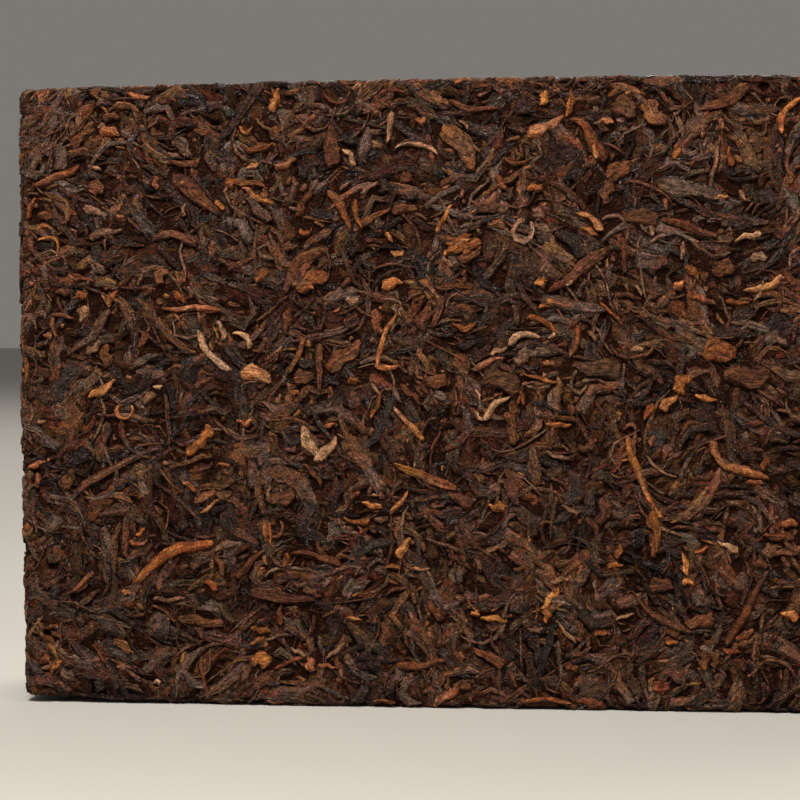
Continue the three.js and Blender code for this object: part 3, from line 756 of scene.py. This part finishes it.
PALE_STEM = GOLDEN_BUD | {"length": (3, 8, 1), "width": (0.6, 1.4, 1), "fold": (-2.2, 2.2, 1)}
PALE_LAID = {
    "upper": [
        (93, 165, -15, 2.1, 0.7, 0.6), (105, 231, 10, 5.4, 1.1, 0.2), (92, 208, -20, 3, 1.4, 0.3),
        (183, 208, 78, 2.2, 0.6, 0.4), (389, 127, -100, 4.8, 1, 0.6), (349, 156, -55, 3, 0.9, 0.9),
        (344, 185, 35, 2, 0.6, 0.3), (369, 187, 35, 3.3, 0.8, 0.3), (416, 148, -8, 7.1, 0.75, 0.6, -105),
        (464, 124, -45, 1.8, 0.6, 0.4), (476, 148, -50, 1.7, 0.6, 0.4), (525, 227, -20, 8.6, 0.95, 0.7, 300),
        (571, 281, 42, 2, 0.6, 0.9), (447, 262, -45, 2, 0.8, 0.4), (716, 160, 80, 7, 0.9, 0.1),
        (748, 236, 15, 4.2, 0.9, 0.9), (744, 195, -55, 2, 0.7, 0.4), (653, 230, -80, 1.8, 0.9, 0.4),
        (683, 250, 85, 2.8, 0.8, 0.4), (760, 290, 70, 3.2, 0.6, 0.6), (759, 256, 0, 2.5, 1.5, 0.4),
        (639, 290, -60, 1.8, 0.6, 0.4),
    ],
    "middle": [
        (82, 313, 80, 2.7, 1.5, 0.6), (148, 398, 45, 2.3, 1.3, 0.4), (212, 352, -50, 8, 1.3, 1, 75),
        (220, 330, -70, 3.2, 1, 0.7, -50), (93, 347, 40, 3, 1.2, 0.2), (242, 339, -45, 4.2, 0.9, 0.9, -130),
        (311, 444, -60, 5.8, 1.9, 0.9, 40), (326, 449, 45, 4.8, 1.5, 0.85, 70),
        (376, 390, -50, 2.5, 0.6, 0.4), (268, 493, 75, 2.2, 0.6, 0.3), (352, 301, 0, 2, 1.4, 0.4),
        (524, 339, 15, 5.8, 1.2, 0.9, -100), (499, 351, 15, 3, 0.9, 0.6), (553, 335, 45, 1.8, 0.7, 0.9),
        (478, 416, -50, 1.8, 0.6, 0.9), (496, 407, 42, 5.5, 1.1, 1), (478, 395, -65, 1.8, 0.6, 0.9),
        (557, 456, -15, 3.8, 0.8, 0.2), (637, 349, 0, 1.7, 1.1, 0.6), (661, 468, -35, 5.5, 0.45, 0.4, 40),
        (157, 387, 0, 1.4, 0.8, 0.9),
    ],
    "lower": [
        (203, 499, 30, 2.3, 0.6, 0.3), (168, 600, 2, 5, 0.8, 0.1), (297, 652, -25, 2.5, 0.7, 0.6, 60),
        (335, 651, 40, 3.6, 0.7, 0.6, 30), (566, 632, -48, 4.6, 0.6, 0.5), (570, 510, -28, 2.7, 0.6, 0.2),
        (478, 564, -60, 2.2, 0.7, 0.2), (560, 581, 10, 3, 1, 0.2), (535, 630, 0, 2.2, 1, 0.2),
        (728, 547, -28, 3.3, 0.8, 1), (625, 617, 18, 2.8, 0.5, 0.5), (155, 684, 0, 1.2, 0.8, 0.9),
    ],
}
PALE_COLOURS = [(0.13, 0.06, 0.032), (0.21, 0.1, 0.05), (0.3, 0.152, 0.075), (0.4, 0.215, 0.108)]
pale_leaves = laid_and_strewn(PALE_LAID, count=120, rings=10, seed=60, ranges=PALE_STEM, front=False)
pale_finish = leaf_finish("pale_stem", PALE_COLOURS, mottle=0.6, furrow=0.55, hues=0.035)
stems = leaf_piece("pale_stems", pale_leaves, columns=5, seed=62, finish=pale_finish)
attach(stems, "root")
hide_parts("tea_brick")


# ---- The russet flakes ----
# Pieces of leaf blade that never rolled up: flat, veined lengthwise and the colour of rust.

RUSSET_FLAKE = GOLDEN_BUD | {
    "length": (4, 9, 1),
    "width": (2.4, 4, 1),
    "thickness": (0.3, 0.45, 1),
    "depth": (0.1, 0.4, 1),
    "bend": (-0.6, 0.6, 1),
    "fold": (0, 0, 1),
    "wrinkle": (0.05, 0.12, 1),
    "blunt": (2.5, 5, 1),
}
RUSSET_LAID = {
    "upper": [
        (95, 185, 0, 2.6, 2.2, 0.7), (183, 161, -5, 4.2, 0.9, 0.7), (174, 238, -10, 7.3, 1.3, 0.5, -40),
        (159, 275, 80, 3, 1.8, 0.9), (332, 145, 90, 6.5, 2.2, 0.4), (245, 182, -5, 6, 0.9, 0.8, -40),
        (264, 192, -100, 1.8, 0.9, 0.8), (303, 268, 45, 10, 1.7, 0.5, -110),
        (301, 272, 60, 5.5, 2.8, 0.6, -40), (311, 280, 25, 5.2, 2.4, 0.8, 30),
        (197, 193, -40, 9.5, 2, 0.35, 20), (406, 177, 0, 2, 1.5, 0.5), (376, 215, 28, 4.8, 0.9, 0.8),
        (405, 209, 10, 4, 1.4, 0.5), (455, 237, 5, 4.8, 1.3, 0.7, 60), (464, 246, 15, 5.4, 1.5, 0.9, 50),
        (470, 254, 25, 4, 1.2, 0.6, 40), (461, 146, -57, 8.6, 2.8, 0.7), (577, 271, 38, 10, 1.6, 0.55),
        (625, 108, -20, 4.2, 2.8, 0.5), (655, 113, -50, 4.5, 2.5, 0.9), (724, 98, 25, 8.5, 1.6, 0.5),
        (619, 170, 35, 4, 2.5, 0.5), (641, 216, -5, 5.5, 2.4, 0.4), (724, 268, 0, 3.4, 2.4, 0.5),
        (290, 246, 0, 2.2, 1.1, 0.5),
    ],
    "middle": [
        (62, 315, -10, 3.7, 0.6, 0.6), (53, 326, -80, 3.2, 0.6, 0.6), (68, 480, 60, 3.5, 1.8, 0.5),
        (106, 355, -80, 3.6, 1.6, 0.5), (143, 340, 60, 3, 1, 0.5), (297, 355, 65, 6, 0.8, 0.7),
        (319, 368, -89, 7.4, 1, 0.5), (344, 356, 38, 6.5, 2.2, 0.7), (304, 377, 0, 3, 2, 0.5),
        (425, 315, 65, 5, 1.5, 0.5), (437, 312, 68, 5, 1.2, 0.5), (511, 428, -80, 5.3, 1.5, 0.5),
        (425, 477, -22, 9.8, 1.4, 1), (513, 492, -70, 4.5, 1.8, 0.5), (436, 382, 0, 3.2, 2, 0.5),
        (500, 382, -5, 6, 2.5, 0.2), (720, 352, -12, 5.2, 3, 0.85), (747, 376, -3, 7, 3.2, 0.3),
    ],
    "lower": [
        (200, 622, -8, 7, 1.4, 0.5), (121, 648, -35, 3.2, 1.4, 0.9), (282, 597, -7, 10, 1.6, 0.3),
        (384, 703, -3, 3.5, 0.8, 0.6), (281, 499, 15, 4.5, 2, 0.5), (488, 657, -30, 5.5, 1.3, 0.9),
        (435, 611, -50, 3.6, 1.3, 0.5), (604, 512, 72, 4.4, 1.8, 0.4), (654, 534, -88, 6.5, 1.8, 0.8),
        (700, 621, 10, 4.5, 2, 0.6), (785, 554, 0, 4, 0.8, 0.7), (662, 688, 0, 2.6, 1.7, 0.9),
        (705, 660, 85, 3, 1.4, 0.5), (662, 586, 0, 3.5, 2, 0.3),
    ],
}
RUSSET_COLOURS = [(0.05, 0.019, 0.009), (0.085, 0.031, 0.013), (0.13, 0.045, 0.015), (0.2, 0.063, 0.016)]
russet_leaves = laid_and_strewn(RUSSET_LAID, count=260, rings=8, seed=40, ranges=RUSSET_FLAKE, front=False)
russet_finish = leaf_finish("russet_leaf", RUSSET_COLOURS, mottle=0.9, furrow=0.65, hues=0.05)
flakes = leaf_piece("russet_flakes", russet_leaves, columns=10, seed=42, finish=russet_finish)
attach(flakes, "root")
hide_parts("tea_brick")


# ---- The threads ----
# Thin leaf stalks and edges, rolled into threads that curl over the other leaves.

THREAD = GOLDEN_BUD | {
    "length": (4, 13, 1),
    "width": (0.3, 0.7, 1),
    "thickness": (0.25, 0.4, 1),
    "depth": (0, 0.35, 1),
    "bend": (-3, 3, 1),
    "wave": (-1, 1, 1),
    "fold": (0, 0, 1),
    "wrinkle": (0.01, 0.03, 1),
}
THREADS_LAID = {
    "upper": [
        (152, 120, 43, 3, 0.5, 0.8), (327, 263, -85, 5.5, 0.5, 0.6), (392, 272, 0, 8.5, 0.5, 0.4, -190),
        (688, 182, 0, 2.2, 0.4, 1), (133, 286, 0, 4.5, 0.6, 0.6),
    ],
    "middle": [
        (272, 308, 38, 6.2, 0.6, 0.6), (235, 430, -20, 8.5, 0.9, 0.7, 40), (368, 315, -30, 4.5, 0.5, 0.5),
        (593, 381, 0, 3.5, 0.5, 0.9), (632, 350, 0, 8, 0.6, 0.5, 160), (126, 418, -7, 9.3, 0.8, 0.8),
    ],
    "lower": [
        (283, 560, 0, 5.5, 0.6, 0.9, 150), (389, 545, -95, 9, 0.6, 0.5), (400, 590, 15, 5, 0.6, 0.6),
        (521, 650, -88, 6, 0.4, 0.7), (445, 546, -20, 6.2, 0.6, 0.9), (775, 672, 0, 9, 0.7, 0.7, -170),
        (764, 633, -90, 6, 0.6, 0.6), (683, 530, 0, 4.5, 0.6, 0.6, -90), (712, 526, 0, 4.5, 0.6, 0.6, -60),
        (182, 652, 38, 4, 0.6, 0.7),
    ],
}
THREAD_COLOURS = [(0.03, 0.013, 0.008), (0.065, 0.026, 0.012), (0.11, 0.042, 0.018), (0.15, 0.078, 0.042)]
thread_leaves = laid_and_strewn(THREADS_LAID, count=1300, rings=8, seed=70, ranges=THREAD)
thread_finish = leaf_finish("stem_thread", THREAD_COLOURS, roughness=0.5, hues=0.06)
threads = leaf_piece("stem_threads", thread_leaves, columns=3, seed=72, finish=thread_finish)
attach(threads, "root")
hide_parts("tea_brick")


# ---- The brown leaves ----
# Whole leaves rolled lengthwise into wrinkled strips, fermented less than the dark ones, so that they stayed
# brown to reddish brown.

BROWN_LEAF = GOLDEN_BUD | {
    "length": (3, 13, 1.2),
    "width": (0.8, 3, 1.3),
    "thickness": (0.3, 0.6, 1),
    "depth": (0.02, 0.4, 1),
    "bend": (-1.4, 1.4, 1),
    "wave": (-1, 1, 1),
    "fold": (0, 0, 1),
    "dive": (-0.3, 0.3, 1),
    "sink": (0.1, 0.5, 1),
    "wrinkle": (0.12, 0.3, 1),
}
BROWN_LAID = {
    "upper": [
        (58, 153, 95, 4.6, 2, 0.8), (181, 146, -45, 4, 2, 0.8), (365, 144, 80, 5.7, 2, 0.5),
        (258, 208, -50, 5.5, 1.8, 0.5), (317, 239, 32, 5, 1.4, 0.6), (712, 116, 25, 4, 1.5, 0.5),
        (692, 190, -14, 10.5, 2.6, 0.8), (652, 262, 0, 5, 3, 0.5),
    ],
    "middle": [
        (112, 474, 30, 17, 1.3, 0.5, -45), (190, 462, 15, 7, 0.8, 0.5, -60), (103, 443, -105, 7, 1.9, 0.4),
        (135, 443, -45, 9, 0.9, 0.5, 75), (167, 420, -85, 8, 0.8, 0.5), (88, 333, 47, 10, 1.4, 0.6),
        (573, 306, -10, 10.5, 2, 0.8, -50), (535, 466, -83, 6.3, 1.9, 0.7), (600, 368, -3, 6.5, 3, 0.4),
        (143, 360, 25, 5, 1.2, 0.5),
    ],
    "lower": [
        (33, 517, -85, 6, 1, 0.5), (30, 550, -62, 5, 0.8, 0.7), (52, 528, 50, 4, 2.4, 0.5),
        (135, 556, 30, 6, 1.4, 0.2), (115, 550, 85, 8, 1.2, 0.5), (87, 601, 40, 5, 1, 0.5),
        (155, 630, 0, 5, 4, 0.4), (551, 512, 90, 8.5, 0.7, 0.5),
    ],
}
BROWN_COLOURS = [
    (0.03, 0.0085, 0.003),
    (0.066, 0.018, 0.006),
    (0.05, 0.027, 0.01),
    (0.125, 0.036, 0.01),
    (0.078, 0.043, 0.021),
    (0.11, 0.047, 0.018),
    (0.155, 0.06, 0.023),
]
brown_leaves = laid_and_strewn(BROWN_LAID, count=2790, rings=5, seed=30, ranges=BROWN_LEAF)
brown_finish = leaf_finish("brown_leaf", BROWN_COLOURS, roughness=0.35, gloss=0.2, fading=1.3)
brown = leaf_piece("brown_leaves", brown_leaves, columns=6, seed=32, finish=brown_finish)
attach(brown, "root")
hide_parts("tea_brick")


# ---- The dark leaves ----
# The commonest leaf of the skin: rolled into a strip like the brown ones, but fermented until it is nearly
# black.

DARK_LEAF = BROWN_LEAF | {"length": (3, 14, 1.2), "width": (0.8, 3.4, 1.3)}
DARK_LAID = {
    "upper": [
        (95, 255, 88, 4, 1.6, 0.3), (503, 154, 45, 5.2, 1, 0.3), (480, 128, -15, 6, 2, 0.3),
        (572, 242, -45, 5.5, 2.2, 0.3), (693, 205, -25, 9, 1.2, 0.4), (738, 222, 0, 5, 2.5, 0.3),
    ],
    "middle": [
        (134, 301, 0, 3.5, 2.5, 0.1), (645, 390, 55, 6, 0.9, 0.2), (626, 398, -60, 4.5, 0.7, 0.2),
        (735, 332, -5, 7, 1.8, 0.2), (784, 328, 0, 5, 4, 0.2),
    ],
}
DARK_COLOURS = [
    (0.013, 0.004, 0.0015),
    (0.032, 0.009, 0.0033),
    (0.026, 0.018, 0.013),
    (0.058, 0.016, 0.005),
    (0.038, 0.023, 0.01),
    (0.066, 0.027, 0.011),
    (0.105, 0.034, 0.011),
]
dark_leaves = laid_and_strewn(DARK_LAID, count=2800, rings=5, seed=20, ranges=DARK_LEAF)
dark_finish = leaf_finish("dark_leaf", DARK_COLOURS, roughness=0.32, gloss=0.2, fading=1.3)
dark = leaf_piece("dark_leaves", dark_leaves, columns=6, seed=22, finish=dark_finish)
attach(dark, "root")
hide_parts("tea_brick")


# ---- The under leaves ----
# Plain dark leaves of the layer below the skin, which fill the gaps between the leaves that lie on them.

UNDER_LEAF = DARK_LEAF | {
    "length": (5, 12, 1),
    "width": (1.6, 3.2, 1),
    "thickness": (0.4, 0.7, 1),
    "depth": (0.25, 0.6, 1),
    "bend": (-1, 1, 1),
    "dive": (-0.2, 0.2, 1),
    "twist": (-3, 3, 1),
    "wrinkle": (0.06, 0.15, 1),
    "blunt": (2, 5, 1),
}
UNDER_COLOURS = [(0.024, 0.009, 0.004), (0.055, 0.018, 0.007), (0.046, 0.024, 0.011), (0.09, 0.031, 0.012)]
under_leaves = strewn(4100, rings=4, seed=11, ranges=UNDER_LEAF)
under_finish = leaf_finish("under_leaf", UNDER_COLOURS, roughness=0.65, gloss=0.05)
under = leaf_piece("under_leaves", under_leaves, columns=5, seed=12, finish=under_finish)
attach(under, "root")
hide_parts("tea_brick")


# ---- The crumbs ----
# Broken bits of every kind of leaf, caught in the gaps.

CRUMB = GOLDEN_BUD | {
    "length": (0.8, 3, 1),
    "width": (0.4, 1.2, 1),
    "thickness": (0.3, 0.5, 1),
    "depth": (0.05, 0.6, 1),
    "bend": (0, 0, 1),
    "wave": (0, 0, 1),
    "fold": (0, 0, 1),
    "dive": (-0.1, 0.1, 1),
    "roll": (-0.3, 0.3, 1),
    "twist": (0, 0, 1),
    "wrinkle": (0, 0.05, 1),
    "blunt": (2, 4, 1),
}
CRUMB_COLOURS = [
    (0.02, 0.009, 0.005),
    (0.04, 0.015, 0.007),
    (0.06, 0.023, 0.011),
    (0.1, 0.04, 0.018),
    (0.22, 0.085, 0.03),
]
crumb_leaves = strewn(6500, rings=2, seed=81, ranges=CRUMB)
crumb_finish = leaf_finish("leaf_crumb", CRUMB_COLOURS, mottle=0.2)
crumbs = leaf_piece("leaf_crumbs", crumb_leaves, columns=4, seed=82, finish=crumb_finish)
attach(crumbs, "root")
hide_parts("tea_brick")


# ---- The floor and the light ----
# A pale floor in a dim even room, a soft lamp above and in front, a weaker one from the right and a large one
# behind.

FLOOR_SIZE = 6  # metres
FLOOR_COLOUR = (0.45, 0.44, 0.42, 1)
ROOM_COLOUR = (1, 0.95, 0.88, 1)
ROOM_LIGHT = 0.2
BRICK_MIDDLE = Vector((0, 0, 0.045))  # metres

bpy.ops.mesh.primitive_plane_add(size=FLOOR_SIZE)
floor = bpy.context.object
floor.name = "floor"
floor_finish = bpy.data.materials.new("floor")
floor_finish.use_nodes = True
floor_shader = floor_finish.node_tree.nodes["Principled BSDF"]
floor_shader.inputs["Base Color"].default_value = FLOOR_COLOUR
floor_shader.inputs["Roughness"].default_value = 0.7
floor.data.materials.append(floor_finish)

world = bpy.data.worlds.new("studio")
world.use_nodes = True
world.node_tree.nodes["Background"].inputs["Color"].default_value = ROOM_COLOUR
world.node_tree.nodes["Background"].inputs["Strength"].default_value = ROOM_LIGHT
bpy.context.scene.world = world


def lamp(name, place, size, power, colour):
    """A square soft lamp that faces the brick. Its place and size are in metres."""
    light = bpy.data.lights.new(name, "AREA")
    light.size = size
    light.energy = power
    light.color = colour
    holder = bpy.data.objects.new(name, light)
    holder.location = place
    holder.rotation_euler = (BRICK_MIDDLE - Vector(place)).to_track_quat("-Z", "Y").to_euler()
    bpy.context.scene.collection.objects.link(holder)


lamp("key", (-0.07, -0.23, 0.34), size=0.12, power=2.2, colour=(1, 0.94, 0.85))
lamp("fill", (0.4, -0.4, 0.5), size=0.3, power=1.2, colour=(1, 0.94, 0.86))
lamp("back", (0.3, 0.6, 0.6), size=0.8, power=7.5, colour=(1, 0.94, 0.86))
bpy.context.scene.view_settings.view_transform = "Standard"
